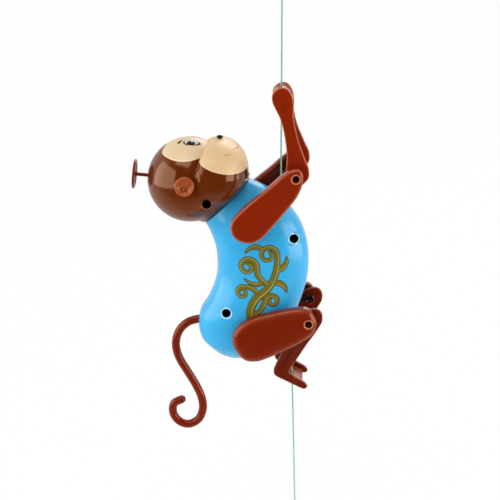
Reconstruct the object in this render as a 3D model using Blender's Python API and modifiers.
"""A toy monkey that climbs a taut string, about 235 mm from its hands to the end of its tail.

Run it with blender --background --python part.py, or from the text editor.

Units are metres and +Z is up. The origin is the top of the hole in the hanging ring. The belly faces
+X, and the monkey's right side, the one with the torso screws, faces -Y. Flat limbs lie in planes
parallel to XZ, so a place in that plane is written as an (x, z) pair.
"""

import math

import bmesh
import bpy
from mathutils import Matrix, Vector
from mathutils.bvhtree import BVHTree

MM = 0.001
MERGE = 0.000001


def mm(x, z):
    """A place in the XZ plane, given in millimetres."""
    return Vector((x * MM, z * MM))


# Clearances and walls
GAP = 0.3 * MM
RUNNING = 0.15 * MM
TORSO_WALL = 2.0 * MM
HEAD_WALL = 2.0 * MM
SCREW_SEAT = 2.5 * MM
LIMB_WALL = 1.8 * MM

# String and its rings
STRING_DIAMETER = 1.2 * MM
STRING_ROUTE = [
    mm(0.0, -24.4),
    mm(0.1, -90.0),
    mm(0.1, -148.0),
    mm(0.5, -160.0),
    mm(2.0, -180.0),
    mm(6.9, -244.0),
    mm(8.9, -295.0),
    mm(11.1, -373.6),
]
STRING_STEP = 6.0 * MM
KNOT_LENGTH = 5.0 * MM
KNOT_RADIUS = 1.7 * MM
LOOP_RADIUS = 2.6 * MM
HANGING_RING_HOLE = 8.0 * MM
HANGING_RING_WIRE = 1.2 * MM
PULL_RING_HOLE = 11.0 * MM
PULL_RING_WIRE = 1.6 * MM

# Joints, in the XZ plane
SHOULDER = mm(-20.9, -166.5)
ELBOW = mm(10.1, -134.3)
HAND = mm(0.1, -88.3)
HIP = mm(-16.1, -242.0)
KNEE = mm(19.0, -230.1)
FOOT = mm(8.9, -271.2)
NECK = mm(-34.9, -156.0)
NECK_TILT = math.radians(46.0)
NECK_GAP = 0.5 * MM

# Torso: (belly point, back point, half thickness) from the neck down
NECK_HALF_WIDTH = 19.9 * MM
TORSO_NECK_THICK = 14.0 * MM
TORSO_STATIONS = [
    (mm(-9.4, -147.1), mm(-46.2, -174.5), 16.6 * MM),
    (mm(0.2, -153.9), mm(-43.7, -180.5), 18.4 * MM),
    (mm(7.3, -161.8), mm(-41.9, -186.5), 19.8 * MM),
    (mm(13.3, -171.0), mm(-41.0, -193.0), 20.7 * MM),
    (mm(17.1, -182.5), mm(-40.8, -200.0), 21.3 * MM),
    (mm(18.5, -196.0), mm(-41.5, -206.5), 21.6 * MM),
    (mm(17.2, -210.1), mm(-43.7, -214.5), 21.7 * MM),
    (mm(13.1, -224.0), mm(-47.5, -222.9), 21.7 * MM),
    (mm(8.5, -236.7), mm(-51.9, -230.2), 21.4 * MM),
    (mm(1.3, -248.6), mm(-53.5, -239.0), 20.4 * MM),
    (mm(-8.1, -257.8), mm(-52.1, -248.0), 18.0 * MM),
    (mm(-17.5, -262.4), mm(-47.7, -254.0), 13.0 * MM),
    (mm(-25.5, -264.0), mm(-42.0, -259.4), 7.6 * MM),
]
TORSO_SQUARENESS = 2.35
TORSO_SEGMENTS = 24
TORSO_HOLLOW_SEGMENTS = 16
TORSO_SCREWS = {"upper": mm(9.0, -177.4), "lower": mm(-34.2, -226.9)}
RECESS_RADIUS = 2.9 * MM
RECESS_TUBE_RADIUS = 4.3 * MM
POST_RADIUS = 3.2 * MM
SCREW_RADIUS = 1.3 * MM
SCREW_HEAD_RADIUS = 2.5 * MM
SCREW_HEAD_HEIGHT = 1.8 * MM
SCREW_GRIP = 8.0 * MM
SLOT_LENGTH = 6.4 * MM
SLOT_WIDTH = 3.2 * MM
INLET_HEIGHT = -155.0 * MM
INLET_REACH = 14.0 * MM
OUTLET_HEIGHT = -243.0 * MM
OUTLET_REACH = 12.0 * MM

# Neck pin
NECK_PIN_RADIUS = 3.7 * MM
NECK_FLANGE_RADIUS = 7.0 * MM
NECK_FLANGE_HEIGHT = 1.6 * MM

# Head
CRANIUM = mm(-58.2, -142.7)
CRANIUM_RADIUS = 27.3 * MM
MUZZLE = mm(-37.2, -137.3)
MUZZLE_HALF = Vector((15.9, 23.0, 22.3)) * MM
MUZZLE_RINGS = 8
# The jaw from the muzzle's widest section to past the neck: (front point, back point, half thickness)
JAW_STATIONS = [
    (mm(-20.8, -139.4), mm(-56.3, -146.5), 22.0 * MM),
    (mm(-20.7, -141.0), mm(-56.5, -158.5), 19.2 * MM),
    (mm(-20.9, -142.4), mm(-50.9, -169.6), 14.6 * MM),
    (mm(-20.4, -145.5), mm(-45.9, -176.0), 13.6 * MM),
]
JAW_SEGMENTS = 28
JAW_HOLLOW_SEGMENTS = 20
HEAD_SCREW_BEARING = Vector((12.4, -22.6, -10.4)).normalized()
EAR_BEARING = Vector((-1.2, -27.0, 2.6)).normalized()
EAR_RADIUS = 6.2 * MM
EAR_HEIGHT = 3.0 * MM
EAR_EDGE = 0.8 * MM
EAR_FLOOR = 1.2 * MM
EAR_BUMP_RADIUS = 1.4 * MM
PEG_RADIUS = 1.5 * MM
NOSE = mm(-38.9, -114.6)
NOSE_HALF = Vector((2.0, 2.8, 2.0)) * MM
NOSE_PEG_RADIUS = 0.9 * MM
KNOB_BEARING = Vector((-35.7, 0.0, 3.1)).normalized()
KNOB_RADIUS = 9.6 * MM
KNOB_THICK = 1.6 * MM
KNOB_REACH = 36.6 * MM
KNOB_STEM_RADIUS = 1.15 * MM

# Tail
TAIL_RADIUS = 2.75 * MM
TAIL_ROUTE = [
    mm(-45.9, -236.6),
    mm(-53.4, -238.1),
    mm(-60.2, -240.3),
    mm(-65.3, -244.8),
    mm(-68.3, -251.0),
    mm(-68.9, -258.5),
    mm(-66.5, -266.8),
    mm(-61.3, -276.0),
    mm(-55.9, -285.6),
    mm(-52.3, -294.4),
    mm(-51.5, -303.0),
    mm(-54.5, -310.4),
    mm(-60.7, -314.1),
    mm(-67.3, -312.4),
    mm(-71.5, -306.4),
    mm(-70.9, -299.4),
    mm(-65.7, -296.2),
]
TAIL_END_ANGLES = (30, 55, 78)
TAIL_FLANGE_RADIUS = 5.0 * MM
TAIL_FLANGE_THICK = 1.5 * MM

# Side to side places of the limbs, measured from the middle plane
LIMB_OUTER = 30.0 * MM
LIMB_INNER = 23.0 * MM
LIMB_TO_LINK = 1.0 * MM
LINK_OUTER = LIMB_INNER - LIMB_TO_LINK
LINK_THICK = 2.4 * MM
LINK_EDGE = 0.5 * MM
HAND_OUTER = 9.6 * MM
FOOT_OUTER = 15.1 * MM
LIMB_CHAMFER = 0.8 * MM

# Outlines along a bone: (share of the bone, reach beyond that in mm, distance across in mm).
# Across is positive on the left when looking from the bone's start to its end.
UPPER_ARM_OUTLINE = [
    (0.0, -10.1, 0.0),
    (0.0, -7.2, 7.0),
    (0.0, -0.6, 10.1),
    (0.31, 0.0, 9.8),
    (0.63, 0.0, 8.3),
    (0.88, 0.0, 7.6),
    (1.0, 2.6, 5.8),
    (1.0, 5.7, 2.6),
    (1.0, 4.6, -1.6),
    (1.0, -0.6, -5.8),
    (0.82, 0.0, -8.7),
    (0.55, 0.0, -10.4),
    (0.26, 0.0, -11.5),
    (0.0, 0.4, -11.6),
    (0.0, -6.8, -7.6),
]
THIGH_OUTLINE = [
    (0.0, -13.8, -1.6),
    (0.0, -12.0, 7.0),
    (0.0, -5.6, 12.0),
    (0.0, 3.0, 14.1),
    (0.35, 0.0, 14.0),
    (0.72, 0.0, 12.8),
    (0.95, 0.0, 11.2),
    (1.0, 3.2, 8.4),
    (1.0, 5.0, 3.0),
    (1.0, 4.6, -2.4),
    (1.0, -0.4, -8.2),
    (0.75, 0.0, -11.2),
    (0.42, 0.0, -13.4),
    (0.12, 0.0, -14.8),
    (0.0, -3.2, -14.8),
    (0.0, -10.4, -11.2),
]
FOREARM_OUTLINE = [
    (0.0, -7.5, 0.6),
    (0.0, -4.8, 5.0),
    (0.0, 3.6, 5.6),
    (0.28, 0.0, 3.3),
    (0.5, 0.0, 2.4),
    (0.72, 0.0, 2.8),
    (0.9, 0.0, 4.9),
    (1.0, -0.6, 5.7),
    (1.0, 4.2, 4.7),
    (1.0, 7.2, 0.2),
    (1.0, 6.4, -4.6),
    (1.0, 0.8, -7.2),
    (0.88, 0.0, -6.9),
    (0.74, 0.0, -5.4),
    (0.5, 0.0, -5.4),
    (0.22, 0.0, -7.4),
    (0.0, 3.0, -8.7),
    (0.0, -3.4, -6.8),
]
SHIN_OUTLINE = [
    (0.0, -8.4, 0.8),
    (0.0, -7.4, 6.4),
    (0.0, -1.6, 8.6),
    (0.14, 0.0, 6.8),
    (0.4, 0.0, 3.3),
    (0.7, 0.0, 0.0),
    (0.92, 0.0, -2.6),
    (1.0, -1.2, -2.2),
    (1.0, 1.2, 3.0),
    (1.0, 3.0, 8.8),
    (1.0, 5.4, 11.4),
    (1.0, 7.6, 9.4),
    (1.0, 6.6, 3.4),
    (1.0, 5.0, -3.6),
    (1.0, 3.2, -10.8),
    (1.0, 0.0, -12.8),
    (0.9, 0.0, -12.6),
    (0.76, 0.0, -11.6),
    (0.5, 0.0, -9.8),
    (0.25, 0.0, -8.8),
    (0.0, -2.0, -7.4),
]
OUTLINE_STEPS = 2
BEND_FROM = 0.22
BEND_TO = 0.84
BEND_CUTS = 5

# Pivots
AXLE_RADIUS = 2.0 * MM
AXLE_BORE_RADIUS = 2.3 * MM
AXLE_BOSS_RADIUS = 4.5 * MM
AXLE_END = 27.6 * MM
PIVOT_RADIUS = 1.45 * MM
PIVOT_BOSS_RADIUS = 3.5 * MM
PIVOT_RECESS_RADIUS = 2.25 * MM
PIVOT_RECESS_DEPTH = 3.0 * MM
PIVOT_HEAD_RADIUS = 3.6 * MM
PIVOT_HEAD_HEIGHT = 1.8 * MM
SPRING_WIRE = 0.5 * MM
SPRING_RADIUS = 3.6 * MM
SPRING_TURNS = 4.5
SPRING_PITCH = 1.7 * MM
SPRING_LEG = 7.0 * MM

# Hand and foot blocks: an outline along the bone like the limbs', and how far in front of and behind
# the hand's or foot's own place the string slot reaches
HAND_BLOCK_OUTLINE = [
    (1.0, -5.2, 4.4),
    (1.0, 0.4, 5.2),
    (1.0, 4.4, 4.0),
    (1.0, 6.7, 0.2),
    (1.0, 5.8, -4.2),
    (1.0, 0.8, -6.5),
    (1.0, -5.2, -5.8),
]
FOOT_BLOCK_OUTLINE = [
    (1.0, 2.9, -5.1),
    (1.0, 4.1, 1.1),
    (1.0, 5.1, 7.2),
    (1.0, 6.1, 7.9),
    (1.0, 7.0, 7.7),
    (1.0, 5.8, 1.4),
    (1.0, 4.6, -4.9),
]
HAND_SLOT = {"back": -2.8 * MM, "front": 4.6 * MM}
FOOT_SLOT = {"back": -2.8 * MM, "front": 0.8 * MM}
BLOCK_SLOT_WIDTH = 2.6 * MM
BLOCK_EDGE = 0.4 * MM
BLOCK_SLOT_REACH = 30.0 * MM

LIMB_RED = "8B240A"
HEAD_BROWN = "6A2E12"
EAR_BROWN = "8A3A1C"
NOSE_BLACK = "15110F"
TORSO_BLUE = "45AEE8"
STRING_GREEN = "5FB897"
STEEL = "9A9B98"


def srgb(code):
    """A hex colour as the linear values that a shader takes."""
    channels = [int(code[i : i + 2], 16) / 255 for i in (0, 2, 4)]
    linear = [c / 12.92 if c <= 0.04045 else ((c + 0.055) / 1.055) ** 2.4 for c in channels]
    return (*linear, 1.0)


def material(name, code, roughness, metallic=0.0):
    made = bpy.data.materials.new(name)
    made.use_nodes = True
    shader = made.node_tree.nodes["Principled BSDF"]
    shader.inputs["Base Color"].default_value = srgb(code)
    shader.inputs["Roughness"].default_value = roughness
    shader.inputs["Metallic"].default_value = metallic
    made.diffuse_color = srgb(code)
    return made


def clear_scene():
    for obj in list(bpy.data.objects):
        bpy.data.objects.remove(obj, do_unlink=True)
    for collection in list(bpy.data.collections):
        bpy.data.collections.remove(collection)


clear_scene()
PARTS = bpy.data.collections.new("string_climbing_monkey")
TOOLS = bpy.data.collections.new("cutters")
for made_collection in (PARTS, TOOLS):
    bpy.context.scene.collection.children.link(made_collection)

RED_PLASTIC = material("red_brown_plastic", LIMB_RED, 0.28)
HEAD_PLASTIC = material("dark_brown_plastic", HEAD_BROWN, 0.22)
EAR_PLASTIC = material("ear_plastic", EAR_BROWN, 0.3)
NOSE_PLASTIC = material("black_plastic", NOSE_BLACK, 0.2)
BLUE_PLASTIC = material("sky_blue_plastic", TORSO_BLUE, 0.25)
STRING_FIBRE = material("green_string", STRING_GREEN, 0.6)
STEEL_WIRE = material("steel", STEEL, 0.35, 1.0)


def at(place, y=0.0):
    """An (x, z) place as a point in space."""
    return Vector((place[0], y, place[1]))


def turned_to(direction):
    """The rotation that takes +Z to a direction."""
    return Vector((0, 0, 1)).rotation_difference(Vector(direction)).to_matrix().to_4x4()


def put(name, mesh, finish=None, place=None):
    """A new object from a mesh: a part where it has a finish, and otherwise a cutter."""
    obj = bpy.data.objects.new(name, mesh)
    (PARTS if finish else TOOLS).objects.link(obj)
    if place is not None:
        obj.matrix_world = place
    if finish:
        mesh.materials.clear()
        mesh.materials.append(finish)
        mesh.shade_smooth()
        mesh.set_sharp_from_angle(angle=math.radians(35))
    else:
        obj.hide_render = True
        obj.display_type = "WIRE"
    return obj


def from_bmesh(name, made, finish=None, place=None):
    bmesh.ops.recalc_face_normals(made, faces=made.faces)
    mesh = bpy.data.meshes.new(name)
    made.to_mesh(mesh)
    made.free()
    return put(name, mesh, finish, place)


def boolean(target, tool, operation, solver):
    modifier = target.modifiers.new(f"{operation.lower()} {tool.name}", "BOOLEAN")
    modifier.operation = operation
    modifier.solver = solver
    modifier.object = tool
    return target


def cut(target, *tools, solver="EXACT"):
    for tool in tools:
        boolean(target, tool, "DIFFERENCE", solver)
    return target


def join(target, *tools, solver="EXACT"):
    for tool in tools:
        boolean(target, tool, "UNION", solver)
    return target


def cylinder(name, start, direction, length, radius, finish=None, sides=20):
    made = bmesh.new()
    bmesh.ops.create_cone(
        made, cap_ends=True, segments=sides, radius1=radius, radius2=radius, depth=length
    )
    direction = Vector(direction).normalized()
    middle = Vector(start) + direction * length / 2
    return from_bmesh(name, made, finish, Matrix.Translation(middle) @ turned_to(direction))


def block(name, low, high, finish=None, place=None, edge=0.0):
    """A box between two corners, with its edges rounded where edge is given."""
    low, high = Vector(low), Vector(high)
    made = bmesh.new()
    bmesh.ops.create_cube(made, size=1.0)
    size = high - low
    bmesh.ops.scale(made, vec=size, verts=made.verts)
    bmesh.ops.translate(made, vec=(low + high) / 2, verts=made.verts)
    obj = from_bmesh(name, made, finish, place)
    if edge:
        bevel = obj.modifiers.new("Rounded edges", "BEVEL")
        bevel.width = edge
        bevel.segments = 2
    return obj


def ball(name, centre, radius, finish=None, sides=32, rows=16, squash=(1, 1, 1)):
    made = bmesh.new()
    bmesh.ops.create_uvsphere(made, u_segments=sides, v_segments=rows, radius=radius)
    place = Matrix.Translation(centre) @ Matrix.Diagonal((*squash, 1.0))
    bmesh.ops.transform(made, matrix=place, verts=made.verts)
    return from_bmesh(name, made, finish)


def turned(name, profile, start, direction, finish=None, steps=24):
    """A turned piece. The profile is a list of (distance along the axis, radius) going up the axis."""
    mesh = bpy.data.meshes.new(name)
    points = [(radius, 0.0, along) for along, radius in reversed(profile)]
    mesh.from_pydata(points, [(i, i + 1) for i in range(len(points) - 1)], [])
    obj = put(name, mesh, None, Matrix.Translation(start) @ turned_to(direction))
    screw = obj.modifiers.new("Screw", "SCREW")
    screw.steps = steps
    screw.render_steps = steps
    screw.use_merge_vertices = True
    screw.merge_threshold = MERGE
    return as_mesh(obj, name, finish)


def as_mesh(obj, name, finish=None):
    """The evaluated object as a mesh object of its own, with the source object removed."""
    graph = bpy.context.evaluated_depsgraph_get()
    mesh = bpy.data.meshes.new_from_object(obj.evaluated_get(graph))
    place = obj.matrix_world.copy()
    bpy.data.objects.remove(obj, do_unlink=True)
    made = bmesh.new()
    made.from_mesh(mesh)
    bmesh.ops.remove_doubles(made, verts=made.verts, dist=MERGE)
    bmesh.ops.recalc_face_normals(made, faces=made.faces)
    made.to_mesh(mesh)
    made.free()
    return put(name, mesh, finish, place)


def torus(name, centre, ring_radius, wire_radius, finish=None, across=(0, 1, 0), sides=(40, 8)):
    bpy.ops.mesh.primitive_torus_add(
        major_radius=ring_radius,
        minor_radius=wire_radius,
        major_segments=sides[0],
        minor_segments=sides[1],
    )
    made = bpy.context.object
    mesh = made.data.copy()
    bpy.data.objects.remove(made, do_unlink=True)
    return put(name, mesh, finish, Matrix.Translation(centre) @ turned_to(across))


def tube(name, points, radius, finish=None, radii=None, resolution=2):
    """A round bar along a line of points, closed at both ends."""
    curve = bpy.data.curves.new(name, "CURVE")
    curve.dimensions = "3D"
    curve.bevel_depth = radius
    curve.bevel_resolution = resolution
    curve.use_fill_caps = True
    spline = curve.splines.new("POLY")
    spline.points.add(len(points) - 1)
    for i, point in enumerate(points):
        spline.points[i].co = (*point, 1.0)
        spline.points[i].radius = radii[i] if radii else 1.0
    obj = bpy.data.objects.new(name, curve)
    TOOLS.objects.link(obj)
    return as_mesh(obj, name, finish)


def catmull_rom(p0, p1, p2, p3, t):
    return 0.5 * (
        2 * p1
        + (p2 - p0) * t
        + (2 * p0 - 5 * p1 + 4 * p2 - p3) * t * t
        + (3 * p1 - p0 - 3 * p2 + p3) * t * t * t
    )


def smooth_closed(points, steps):
    """A closed smooth line through the points, with steps pieces from each point to the next."""
    count = len(points)
    line = []
    for i in range(count):
        around = [points[(i + k) % count] for k in (-1, 0, 1, 2)]
        line += [catmull_rom(*around, step / steps) for step in range(steps)]
    return line


def smooth_open(points, steps):
    """A smooth line through the points, ends included."""
    ends = [2 * points[0] - points[1], *points, 2 * points[-1] - points[-2]]
    line = []
    for i in range(1, len(ends) - 2):
        line += [catmull_rom(*ends[i - 1 : i + 3], step / steps) for step in range(steps)]
    return [*line, points[-1]]


def spaced(points, step):
    """The line again, with points an even distance of about step apart."""
    lengths = [0.0]
    for a, b in zip(points, points[1:]):
        lengths.append(lengths[-1] + (b - a).length)
    count = max(2, round(lengths[-1] / step) + 1)
    line = []
    i = 0
    for k in range(count):
        along = lengths[-1] * k / (count - 1)
        while i < len(points) - 2 and lengths[i + 1] < along:
            i += 1
        share = (along - lengths[i]) / (lengths[i + 1] - lengths[i])
        line.append(points[i].lerp(points[i + 1], min(share, 1.0)))
    return line


def along_bone(start, end, outline, steps=OUTLINE_STEPS):
    """An outline that is given along a bone, as smooth places in the XZ plane."""
    bone = end - start
    forward = bone.normalized()
    left = Vector((-forward.y, forward.x))
    corners = [
        start + bone * share + forward * reach * MM + left * across * MM
        for share, reach, across in outline
    ]
    return smooth_closed(corners, steps)


def inset(outline, distance):
    """The outline moved inwards. It runs clockwise or counter-clockwise."""
    count = len(outline)
    area = sum(
        outline[i - 1].x * outline[i].y - outline[i].x * outline[i - 1].y for i in range(count)
    )
    side = 1.0 if area > 0 else -1.0
    line = []
    for i in range(count):
        tangent = (outline[(i + 1) % count] - outline[i - 1]).normalized()
        line.append(outline[i] + side * distance * Vector((-tangent.y, tangent.x)))
    return line


def plate(name, outline, from_y, to_y, finish=None, edge=0.0):
    """A flat piece whose outline lies in XZ, between two distances from the middle plane."""
    curve = bpy.data.curves.new(name, "CURVE")
    curve.dimensions = "2D"
    curve.fill_mode = "BOTH"
    curve.extrude = abs(to_y - from_y) / 2 - edge
    curve.bevel_depth = edge
    curve.bevel_resolution = 0
    curve.offset = -edge
    spline = curve.splines.new("POLY")
    spline.points.add(len(outline) - 1)
    spline.use_cyclic_u = True
    for i, corner in enumerate(outline):
        spline.points[i].co = (corner.x, corner.y, 0.0, 1.0)
    obj = bpy.data.objects.new(name, curve)
    TOOLS.objects.link(obj)
    upright = Matrix.Rotation(math.pi / 2, 4, "X")
    obj.matrix_world = Matrix.Translation((0.0, (from_y + to_y) / 2, 0.0)) @ upright
    return as_mesh(obj, name, finish)


def loft(name, rings, finish=None):
    """A closed skin over rings of as many points each."""
    made = bmesh.new()
    loops = [[made.verts.new(point) for point in ring] for ring in rings]
    for first, second in zip(loops, loops[1:]):
        for i in range(len(first)):
            j = (i + 1) % len(first)
            made.faces.new((first[i], first[j], second[j], second[i]))
    made.faces.new(loops[0])
    made.faces.new(loops[-1])
    return from_bmesh(name, made, finish)


def rounded_ring(belly, back, thick, squareness, count):
    """A closed section between a belly point and a back point, squarer than an ellipse."""
    centre = (belly + back) / 2
    half = (belly - back) / 2
    ring = []
    for i in range(count):
        angle = 2 * math.pi * i / count
        across = math.copysign(abs(math.cos(angle)) ** (2 / squareness), math.cos(angle))
        aside = math.copysign(abs(math.sin(angle)) ** (2 / squareness), math.sin(angle))
        ring.append(at(centre + half * across, thick * aside))
    return ring


def half_space(name, sign, reach=0.5):
    """A box over everything that one half shell leaves out, half a gap beyond the middle plane too."""
    near, far = sign * GAP / 2, -sign * reach
    return block(name, (-reach, min(near, far), -reach), (reach, max(near, far), reach))


NECK_AXIS = Vector((-math.sin(NECK_TILT), 0.0, math.cos(NECK_TILT)))
NECK_ACROSS = Vector((math.cos(NECK_TILT), math.sin(NECK_TILT)))
CUT_AWAY = {"right": half_space("keep_right", -1), "left": half_space("keep_left", 1)}
SIDES = {"right": -1, "left": 1}


def string_line():
    """The string's middle line, smooth and evenly spaced."""
    smooth = smooth_open(STRING_ROUTE, 12)
    return [at(place) for place in spaced(smooth, STRING_STEP)]


def string_at(z):
    """Where the string passes a height."""
    line = smooth_open(STRING_ROUTE, 12)
    for upper, lower in zip(line, line[1:]):
        if lower.y <= z <= upper.y:
            return upper.lerp(lower, (upper.y - z) / (upper.y - lower.y))
    return line[-1]


def make_string():
    tube("climbing_string", string_line(), STRING_DIAMETER / 2, STRING_FIBRE)
    ring_middle = -HANGING_RING_HOLE
    torus(
        "hanging_ring",
        (STRING_ROUTE[0].x, 0.0, ring_middle),
        HANGING_RING_HOLE + HANGING_RING_WIRE,
        HANGING_RING_WIRE,
        RED_PLASTIC,
    )
    tied_loop("upper_knot", STRING_ROUTE[0], 1, ring_middle - HANGING_RING_HOLE - HANGING_RING_WIRE)
    end = STRING_ROUTE[-1]
    wire_middle = end.y - GAP - KNOT_LENGTH - LOOP_RADIUS + STRING_DIAMETER / 2
    torus(
        "pull_ring",
        (end.x, 0.0, wire_middle - PULL_RING_HOLE - PULL_RING_WIRE),
        PULL_RING_HOLE + PULL_RING_WIRE,
        PULL_RING_WIRE,
        RED_PLASTIC,
    )
    tied_loop("lower_knot", end, -1, wire_middle)


def tied_loop(name, string_end, way, wire_height):
    """A knot next to the string's end, and the loop from it round the ring's wire. way is 1 upwards."""
    neck = STRING_DIAMETER / 2
    knot = turned(
        name,
        [
            (0.0, 0.0),
            (0.0, neck),
            (KNOT_LENGTH * 0.22, KNOT_RADIUS * 0.92),
            (KNOT_LENGTH * 0.5, KNOT_RADIUS),
            (KNOT_LENGTH * 0.78, KNOT_RADIUS * 0.92),
            (KNOT_LENGTH, neck),
            (KNOT_LENGTH, 0.0),
        ],
        at(string_end) + Vector((0.0, 0.0, way * GAP)),
        (0, 0, way),
        STRING_FIBRE,
        steps=14,
    )
    loop = torus(
        f"{name}_loop",
        (string_end.x, 0.0, wire_height),
        LOOP_RADIUS,
        STRING_DIAMETER / 2,
        across=(1, 0, 0),
        sides=(18, 6),
    )
    join(knot, loop, solver="MANIFOLD")


def torso_rings(wall=0.0, steps=2, count=TORSO_SEGMENTS):
    """The torso's sections, moved inwards by a wall."""
    neck = (
        NECK + NECK_ACROSS * NECK_HALF_WIDTH,
        NECK - NECK_ACROSS * NECK_HALF_WIDTH,
        TORSO_NECK_THICK,
    )
    stations = [neck, *TORSO_STATIONS]
    lines = [smooth_open([Vector((*s[k], 0)) for s in stations], steps) for k in (0, 1)]
    thick = smooth_open([Vector((s[2], 0, 0)) for s in stations], steps)
    rings = []
    for belly, back, half in zip(*lines, thick):
        belly, back = belly.xy, back.xy
        inwards = (back - belly).normalized() * wall
        rings.append((belly + inwards, back - inwards, half.x - wall))
    if wall:
        down = Vector((-NECK_AXIS.x, -NECK_AXIS.z))
        rings[0] = (rings[0][0] + down * wall, rings[0][1] + down * wall, rings[0][2])
        rings = rings[:-1]
    return [rounded_ring(*ring, TORSO_SQUARENESS, count) for ring in rings]


def axle_collar(name, place, sign):
    """The boss on the torso's flank that carries an axle and keeps the limb off the skin."""
    start = 14.0 * MM
    return cylinder(
        name, at(place, sign * start), (0, sign, 0), LIMB_INNER - GAP - start, AXLE_BOSS_RADIUS
    )


def skin_at(solid, place):
    """How far a solid's skin is from the middle plane, at a place in that plane."""
    tree = BVHTree.FromPolygons(
        [vert.co for vert in solid.data.vertices],
        [tuple(face.vertices) for face in solid.data.polygons],
    )
    hit = tree.ray_cast(at(place, -1.0), Vector((0.0, 1.0, 0.0)))[0]
    return -hit.y


def closing_screw(name, place, skin):
    """The tools for one closing screw from the right, and the screw itself.

    skin is how far the outer surface is from the middle plane there. The right shell gets a recess in
    a tube down to the split, and the left shell a post that takes the thread.
    """
    fit = SCREW_RADIUS + RUNNING
    tools = {
        "tube": cylinder(f"{name}_tube", at(place), (0, -1, 0), skin - HEAD_WALL / 2, RECESS_TUBE_RADIUS),
        "recess": cylinder(
            f"{name}_recess", at(place, -GAP / 2 - SCREW_SEAT), (0, -1, 0), skin, RECESS_RADIUS
        ),
        "hole": cylinder(f"{name}_hole", at(place, GAP), (0, -1, 0), skin / 2, fit, sides=16),
        "post": cylinder(f"{name}_post", at(place), (0, 1, 0), skin - HEAD_WALL / 2, POST_RADIUS),
        "pilot": cylinder(
            f"{name}_pilot", at(place, -GAP), (0, 1, 0), SCREW_GRIP + 3 * GAP, fit, sides=16
        ),
    }
    head_from = SCREW_SEAT + GAP / 2 + GAP
    turned(
        name,
        [
            (0.0, 0.0),
            (0.0, SCREW_RADIUS),
            (SCREW_GRIP + head_from, SCREW_RADIUS),
            (SCREW_GRIP + head_from, SCREW_HEAD_RADIUS),
            (SCREW_GRIP + head_from + SCREW_HEAD_HEIGHT, SCREW_HEAD_RADIUS * 0.8),
            (SCREW_GRIP + head_from + SCREW_HEAD_HEIGHT, 0.0),
        ],
        at(place, SCREW_GRIP),
        (0, -1, 0),
        STEEL_WIRE,
        steps=16,
    )
    return tools


def string_slot(name, z, reach):
    """A cutter for the slot that lets the string through the skin at a height."""
    place = string_at(z)
    half = Vector((SLOT_LENGTH / 2, SLOT_WIDTH / 2, reach))
    return block(name, at(place) - half, at(place) + half)


def make_torso():
    hollow = loft("torso_hollow", torso_rings(TORSO_WALL, 1, TORSO_HOLLOW_SEGMENTS))
    solid = loft("torso_solid", torso_rings())
    first, second = TAIL_ROUTE[:2]
    tail_way = at(second - first).normalized()
    limb_reach = 2 * LIMB_OUTER
    bores = [
        cylinder(f"{name}_bore", at(place, -limb_reach / 2), (0, 1, 0), limb_reach, AXLE_BORE_RADIUS)
        for name, place in (("shoulder", SHOULDER), ("hip", HIP))
    ]
    openings = [
        cylinder(
            "torso_neck_bore",
            at(NECK) - NECK_AXIS * NECK_FLANGE_RADIUS,
            NECK_AXIS,
            2 * NECK_FLANGE_RADIUS,
            NECK_PIN_RADIUS + GAP,
        ),
        cylinder("tail_bore", at(first), tail_way, 3 * (second - first).length, TAIL_RADIUS + GAP),
        string_slot("string_inlet", INLET_HEIGHT, INLET_REACH),
        string_slot("string_outlet", OUTLET_HEIGHT, OUTLET_REACH),
        *bores,
    ]
    screws = {
        name: closing_screw(f"torso_screw_{name}", place, skin_at(solid, place))
        for name, place in TORSO_SCREWS.items()
    }
    for side, sign in SIDES.items():
        shell = loft(f"torso_shell_{side}", torso_rings(), BLUE_PLASTIC)
        cut(shell, hollow, solver="MANIFOLD")
        collars = [
            axle_collar(f"{name}_collar_{side}", place, sign)
            for name, place in (("shoulder", SHOULDER), ("hip", HIP))
        ]
        join(shell, *collars, solver="MANIFOLD")
        close_with(shell, side, screws.values())
        cut(shell, *openings, CUT_AWAY[side], solver="MANIFOLD")


def close_with(shell, side, screws):
    """Adds each closing screw's tube or post to one half shell."""
    for tools in screws:
        if side == "right":
            join(shell, tools["tube"], solver="MANIFOLD")
            cut(shell, tools["recess"], tools["hole"], solver="MANIFOLD")
        else:
            join(shell, tools["post"], solver="MANIFOLD")
            cut(shell, tools["pilot"], solver="MANIFOLD")


def make_neck_pin():
    """The pin that the head turns on, with a flange inside the torso and one inside the head."""
    bottom = -(TORSO_WALL + GAP + NECK_FLANGE_HEIGHT)
    torso_flange_top = -(TORSO_WALL + GAP)
    head_flange = NECK_GAP + HEAD_WALL + GAP
    turned(
        "neck_pin",
        [
            (bottom, 0.0),
            (bottom, NECK_FLANGE_RADIUS),
            (torso_flange_top, NECK_FLANGE_RADIUS),
            (torso_flange_top, NECK_PIN_RADIUS),
            (head_flange, NECK_PIN_RADIUS),
            (head_flange, NECK_FLANGE_RADIUS),
            (head_flange + NECK_FLANGE_HEIGHT, NECK_FLANGE_RADIUS),
            (head_flange + NECK_FLANGE_HEIGHT, 0.0),
        ],
        at(NECK),
        NECK_AXIS,
        BLUE_PLASTIC,
    )


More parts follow.
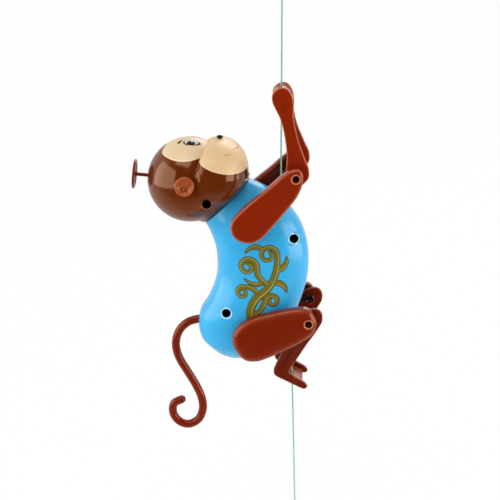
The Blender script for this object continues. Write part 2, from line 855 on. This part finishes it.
def jaw_rings(wall=0.0, muzzle_rings=MUZZLE_RINGS, count=JAW_SEGMENTS):
    """The muzzle as the upper half of an ellipsoid, then the jaw down past the neck."""
    half = MUZZLE_HALF - Vector((wall, wall, wall))
    rings = []
    top = math.radians(8.0)
    for i in range(muzzle_rings + 1):
        angle = top + (math.pi / 2 - top) * i / muzzle_rings
        middle = MUZZLE + Vector((0.0, half.z * math.cos(angle)))
        across = Vector((half.x * math.sin(angle), 0.0))
        rings.append((middle + across, middle - across, half.y * math.sin(angle)))
    for front, back, thick in JAW_STATIONS:
        inwards = (back - front).normalized() * wall
        rings.append((front + inwards, back - inwards, thick - wall))
    return [rounded_ring(*ring, 2.0, count) for ring in rings]


def below_neck(name, rise, reach=0.3):
    """A box over everything under the neck plane raised by a distance along the neck's axis."""
    place = Matrix.Translation(at(NECK) + NECK_AXIS * rise) @ turned_to(NECK_AXIS)
    return block(name, (-reach, -reach, -reach), (reach, reach, 0.0), place=place)


def make_head():
    centre = at(CRANIUM)
    hollow = ball("cranium_hollow", centre, CRANIUM_RADIUS - HEAD_WALL, sides=24, rows=12)
    jaw_hollow = loft("jaw_hollow", jaw_rings(HEAD_WALL, 5, JAW_HOLLOW_SEGMENTS))
    join(hollow, jaw_hollow, solver="MANIFOLD")
    cut(hollow, below_neck("head_floor", NECK_GAP + HEAD_WALL), solver="MANIFOLD")
    hollow = as_mesh(hollow, "head_hollow")
    solid = ball("cranium_solid", centre, CRANIUM_RADIUS)
    join(solid, loft("jaw_solid", jaw_rings()), solver="MANIFOLD")
    cut(solid, below_neck("head_under", NECK_GAP), solver="MANIFOLD")
    solid = as_mesh(solid, "head_solid")
    screw_place = centre + HEAD_SCREW_BEARING * CRANIUM_RADIUS
    screw = closing_screw("head_screw", screw_place.xz, skin_at(solid, screw_place.xz))
    knob_hole = cylinder(
        "knob_hole",
        centre + KNOB_BEARING * (CRANIUM_RADIUS - 2 * HEAD_WALL),
        KNOB_BEARING,
        4 * HEAD_WALL,
        KNOB_STEM_RADIUS + GAP,
        sides=16,
    )
    nose_hole = cylinder(
        "nose_hole", at(NOSE, 0.0) - Vector((0, 0, 4 * HEAD_WALL)), (0, 0, 1), 8 * HEAD_WALL,
        NOSE_PEG_RADIUS + GAP, sides=12,
    )
    neck_hole = cylinder(
        "head_neck_bore",
        at(NECK) - NECK_AXIS * HEAD_WALL,
        NECK_AXIS,
        4 * HEAD_WALL,
        NECK_PIN_RADIUS + GAP,
    )
    for side, sign in SIDES.items():
        shell = put(f"head_shell_{side}", solid.data.copy(), HEAD_PLASTIC)
        cut(shell, hollow, solver="MANIFOLD")
        close_with(shell, side, [screw])
        bearing = Vector((EAR_BEARING.x, sign * abs(EAR_BEARING.y), EAR_BEARING.z))
        ear_hole = cylinder(
            f"ear_hole_{side}",
            centre + bearing * (CRANIUM_RADIUS - 2 * HEAD_WALL),
            bearing,
            4 * HEAD_WALL,
            PEG_RADIUS + GAP,
            sides=16,
        )
        holes = (ear_hole, knob_hole, nose_hole, neck_hole)
        cut(shell, *holes, CUT_AWAY[side], solver="MANIFOLD")
        make_ear(side, centre, bearing)
    make_knob(centre)
    make_nose()


def make_ear(side, centre, bearing):
    """A dished disc on the cranium, with a small bump in the dish and a peg through the shell."""
    skin = ball(f"ear_seat_{side}", centre, CRANIUM_RADIUS + GAP)
    ear = turned(
        f"ear_{side}",
        [
            (CRANIUM_RADIUS - HEAD_WALL, 0.0),
            (CRANIUM_RADIUS - HEAD_WALL, EAR_RADIUS - EAR_EDGE),
            (CRANIUM_RADIUS + EAR_HEIGHT - EAR_EDGE, EAR_RADIUS),
            (CRANIUM_RADIUS + EAR_HEIGHT, EAR_RADIUS - EAR_EDGE),
            (CRANIUM_RADIUS + EAR_HEIGHT - EAR_EDGE, EAR_RADIUS - 2 * EAR_EDGE),
            (CRANIUM_RADIUS + EAR_FLOOR, EAR_RADIUS - 3.2 * EAR_EDGE),
            (CRANIUM_RADIUS + EAR_FLOOR, 0.0),
        ],
        centre,
        bearing,
        EAR_PLASTIC,
        steps=20,
    )
    cut(ear, skin)
    peg_from = CRANIUM_RADIUS - 2 * HEAD_WALL
    peg = cylinder(
        f"ear_peg_{side}",
        centre + bearing * peg_from,
        bearing,
        CRANIUM_RADIUS + EAR_FLOOR / 2 - peg_from + GAP,
        PEG_RADIUS,
        sides=16,
    )
    place = centre + bearing * (CRANIUM_RADIUS + EAR_FLOOR) + Vector((0.0, 0.0, -EAR_BUMP_RADIUS))
    join(ear, peg, ball(f"ear_bump_{side}", place, EAR_BUMP_RADIUS, sides=12, rows=8))


def make_knob(centre):
    rim = KNOB_THICK / 2
    turned(
        "crown_knob",
        [
            (CRANIUM_RADIUS - 2 * HEAD_WALL, 0.0),
            (CRANIUM_RADIUS - 2 * HEAD_WALL, KNOB_STEM_RADIUS),
            (KNOB_REACH - KNOB_THICK, KNOB_STEM_RADIUS),
            (KNOB_REACH - KNOB_THICK, KNOB_RADIUS - rim / 2),
            (KNOB_REACH - rim, KNOB_RADIUS),
            (KNOB_REACH, KNOB_RADIUS - rim / 2),
            (KNOB_REACH, 0.0),
        ],
        centre,
        KNOB_BEARING,
        RED_PLASTIC,
    )


def make_nose():
    """The button nose on the top of the muzzle, with its back shaped to the muzzle."""
    nose = ball("nose", at(NOSE), 1.0, NOSE_PLASTIC, sides=14, rows=8, squash=NOSE_HALF)
    muzzle_skin = ball(
        "nose_seat", at(MUZZLE), 1.0, squash=MUZZLE_HALF + Vector((GAP, GAP, GAP))
    )
    cut(nose, muzzle_skin)
    peg_length = 2 * HEAD_WALL + NOSE_HALF.z / 2
    peg_start = at(NOSE) - Vector((0.0, 0.0, 2 * HEAD_WALL))
    join(nose, cylinder("nose_peg", peg_start, (0, 0, 1), peg_length, NOSE_PEG_RADIUS, sides=12))


def make_tail():
    line = [at(place) for place in smooth_open(TAIL_ROUTE, 2)]
    radii = [1.0] * len(line)
    end, end_way = line[-1], (line[-1] - line[-2]).normalized()
    for degrees in TAIL_END_ANGLES:
        angle = math.radians(degrees)
        line.append(end + end_way * TAIL_RADIUS * math.sin(angle))
        radii.append(math.cos(angle))
    tail = tube("tail", line, TAIL_RADIUS, RED_PLASTIC, radii)
    first, second = TAIL_ROUTE[:2]
    flange = cylinder(
        "tail_flange",
        at(first),
        at(second - first),
        TAIL_FLANGE_THICK,
        TAIL_FLANGE_RADIUS,
    )
    join(tail, flange)


def make_limb(name, side, outline, start, end, finish=RED_PLASTIC):
    """A hollow lever, open towards the middle, with a socket for its axle and a bored pivot boss."""
    sign = SIDES[side]
    shape = along_bone(start, end, outline)
    inside = inset(along_bone(start, end, outline, steps=1), LIMB_WALL)
    inner, outer = sign * LIMB_INNER, sign * LIMB_OUTER
    floor = sign * (LIMB_OUTER - LIMB_WALL)
    limb = plate(f"{name}_{side}", shape, inner, outer, finish, edge=LIMB_CHAMFER)
    cut(limb, plate(f"{name}_{side}_hollow", inside, sign * (LIMB_INNER - LIMB_WALL), floor))
    depth = LIMB_OUTER - LIMB_WALL / 2
    outwards = (0, sign, 0)
    pivot_from = LINK_OUTER + GAP
    socket = cylinder(
        f"{name}_{side}_socket", at(start, inner), outwards, depth - LIMB_INNER, AXLE_BOSS_RADIUS
    )
    boss = cylinder(
        f"{name}_{side}_boss",
        at(end, sign * pivot_from),
        outwards,
        depth - pivot_from,
        PIVOT_BOSS_RADIUS,
    )
    join(limb, socket, boss)
    cut(
        limb,
        cylinder(
            f"{name}_{side}_axle_bore",
            at(start, sign * (LIMB_INNER - LIMB_WALL)),
            outwards,
            AXLE_END + GAP - LIMB_INNER + LIMB_WALL,
            AXLE_BORE_RADIUS,
        ),
        cylinder(
            f"{name}_{side}_pivot_bore",
            at(end, sign * LIMB_INNER / 2),
            outwards,
            LIMB_OUTER,
            PIVOT_RADIUS + RUNNING,
            sides=16,
        ),
        cylinder(
            f"{name}_{side}_recess",
            at(end, sign * (LIMB_OUTER - PIVOT_RECESS_DEPTH)),
            outwards,
            2 * PIVOT_RECESS_DEPTH,
            PIVOT_RECESS_RADIUS,
            sides=20,
        ),
    )


def pivot_screw(name, side, place):
    """The screw that holds a link on a limb's boss, driven from the inner side."""
    sign = SIDES[side]
    head = LINK_OUTER - LINK_THICK - GAP
    tip = LIMB_OUTER - PIVOT_RECESS_DEPTH - GAP
    turned(
        f"{name}_{side}",
        [
            (0.0, 0.0),
            (0.0, PIVOT_HEAD_RADIUS * 0.85),
            (PIVOT_HEAD_HEIGHT * 0.4, PIVOT_HEAD_RADIUS),
            (PIVOT_HEAD_HEIGHT, PIVOT_HEAD_RADIUS),
            (PIVOT_HEAD_HEIGHT, PIVOT_RADIUS),
            (tip - head + PIVOT_HEAD_HEIGHT, PIVOT_RADIUS),
            (tip - head + PIVOT_HEAD_HEIGHT, 0.0),
        ],
        at(place, sign * (head - PIVOT_HEAD_HEIGHT)),
        (0, sign, 0),
        STEEL_WIRE,
        steps=20,
    )


def eased(share):
    """0 to 1 with level ends."""
    share = min(max(share, 0.0), 1.0)
    return share * share * (3 - 2 * share)


def make_link(name, side, outline, start, end, end_outer):
    """A flat link, bent so that its far end runs nearer the middle plane."""
    sign = SIDES[side]
    shape = along_bone(start, end, outline, steps=2)
    outer, inner = sign * LINK_OUTER, sign * (LINK_OUTER - LINK_THICK)
    flat = plate(f"{name}_{side}_flat", shape, inner, outer, edge=LINK_EDGE)
    hole = cylinder(
        f"{name}_{side}_hole",
        at(start, sign * LINK_OUTER / 2),
        (0, sign, 0),
        LINK_OUTER,
        PIVOT_RADIUS + GAP,
        sides=16,
    )
    cut(flat, hole)
    link = as_mesh(flat, f"{name}_{side}", RED_PLASTIC)
    bone = at(end - start)
    place = link.matrix_world
    made = bmesh.new()
    made.from_mesh(link.data)
    made.transform(place)
    for i in range(BEND_CUTS + 1):
        share = BEND_FROM + (BEND_TO - BEND_FROM) * i / BEND_CUTS
        geometry = made.verts[:] + made.edges[:] + made.faces[:]
        bmesh.ops.bisect_plane(
            made, geom=geometry, plane_co=at(start) + bone * share, plane_no=bone.normalized()
        )
    for vert in made.verts:
        share = (vert.co - at(start)).dot(bone) / bone.length_squared
        shift = eased((share - BEND_FROM) / (BEND_TO - BEND_FROM))
        vert.co.y -= sign * (LINK_OUTER - end_outer) * shift
    made.transform(place.inverted())
    made.to_mesh(link.data)
    made.free()


def grip_block(name, start, end, outline, slot, outer):
    """The block between two hands or feet, with the slot that the string runs through."""
    half = outer - LINK_THICK - GAP
    shape = along_bone(start, end, outline)
    grip = plate(name, shape, -half, half, RED_PLASTIC, edge=BLOCK_EDGE)
    reach = Vector((0.0, BLOCK_SLOT_WIDTH / 2, BLOCK_SLOT_REACH))
    back, front = at(end), at(end)
    back.x += slot["back"]
    front.x += slot["front"]
    cut(grip, block(f"{name}_slot", back - reach, front + reach))


def make_axle(name, place):
    rounding = 0.4 * MM
    turned(
        name,
        [
            (-AXLE_END, 0.0),
            (-AXLE_END, AXLE_RADIUS - rounding),
            (-AXLE_END + rounding, AXLE_RADIUS),
            (AXLE_END - rounding, AXLE_RADIUS),
            (AXLE_END, AXLE_RADIUS - rounding),
            (AXLE_END, 0.0),
        ],
        at(place),
        (0, 1, 0),
        STEEL_WIRE,
        steps=20,
    )


def make_spring(name, place, first_angle):
    """A torsion spring round an axle: a helix with a straight leg at each end."""
    per_turn = 8
    count = round(SPRING_TURNS * per_turn)
    line = []
    for i in range(count + 1):
        angle = first_angle + 2 * math.pi * i / per_turn
        y = SPRING_PITCH * (i / per_turn - SPRING_TURNS / 2)
        out = Vector((math.cos(angle), 0.0, math.sin(angle))) * SPRING_RADIUS
        line.append(at(place, y) + out)
    first_way = (line[0] - line[1]).normalized()
    last_way = (line[-1] - line[-2]).normalized()
    line = [line[0] + first_way * SPRING_LEG, *line, line[-1] + last_way * SPRING_LEG]
    tube(name, line, SPRING_WIRE, STEEL_WIRE, resolution=1)


def hang_on_joints():
    """Each moving group hangs on an empty at its joint's axis."""
    joints = {
        "head_joint": (at(NECK), ("head_", "ear_", "nose", "crown_knob")),
        "shoulder_joint": (at(SHOULDER), ("upper_arm_", "shoulder_axle", "elbow_screw_")),
        "elbow_joint": (at(ELBOW), ("forearm_", "hand_block")),
        "hip_joint": (at(HIP), ("thigh_", "hip_axle", "knee_screw_")),
        "knee_joint": (at(KNEE), ("shin_", "foot_block")),
    }
    for name, (place, starts) in joints.items():
        empty = bpy.data.objects.new(name, None)
        PARTS.objects.link(empty)
        empty.location = place
        for obj in PARTS.objects:
            if obj.type == "MESH" and obj.name.startswith(starts):
                obj.parent = empty
                obj.matrix_parent_inverse = Matrix.Translation(place).inverted()


def main():
    make_string()
    make_torso()
    make_neck_pin()
    make_tail()
    make_head()
    for side in SIDES:
        make_limb("upper_arm", side, UPPER_ARM_OUTLINE, SHOULDER, ELBOW)
        make_limb("thigh", side, THIGH_OUTLINE, HIP, KNEE)
        make_link("forearm", side, FOREARM_OUTLINE, ELBOW, HAND, HAND_OUTER)
        make_link("shin", side, SHIN_OUTLINE, KNEE, FOOT, FOOT_OUTER)
        pivot_screw("elbow_screw", side, ELBOW)
        pivot_screw("knee_screw", side, KNEE)
    grip_block("hand_block", ELBOW, HAND, HAND_BLOCK_OUTLINE, HAND_SLOT, HAND_OUTER)
    grip_block("foot_block", KNEE, FOOT, FOOT_BLOCK_OUTLINE, FOOT_SLOT, FOOT_OUTER)
    make_axle("shoulder_axle", SHOULDER)
    make_axle("hip_axle", HIP)
    make_spring("shoulder_spring", SHOULDER, math.radians(200))
    make_spring("hip_spring", HIP, math.radians(120))
    hang_on_joints()


main()
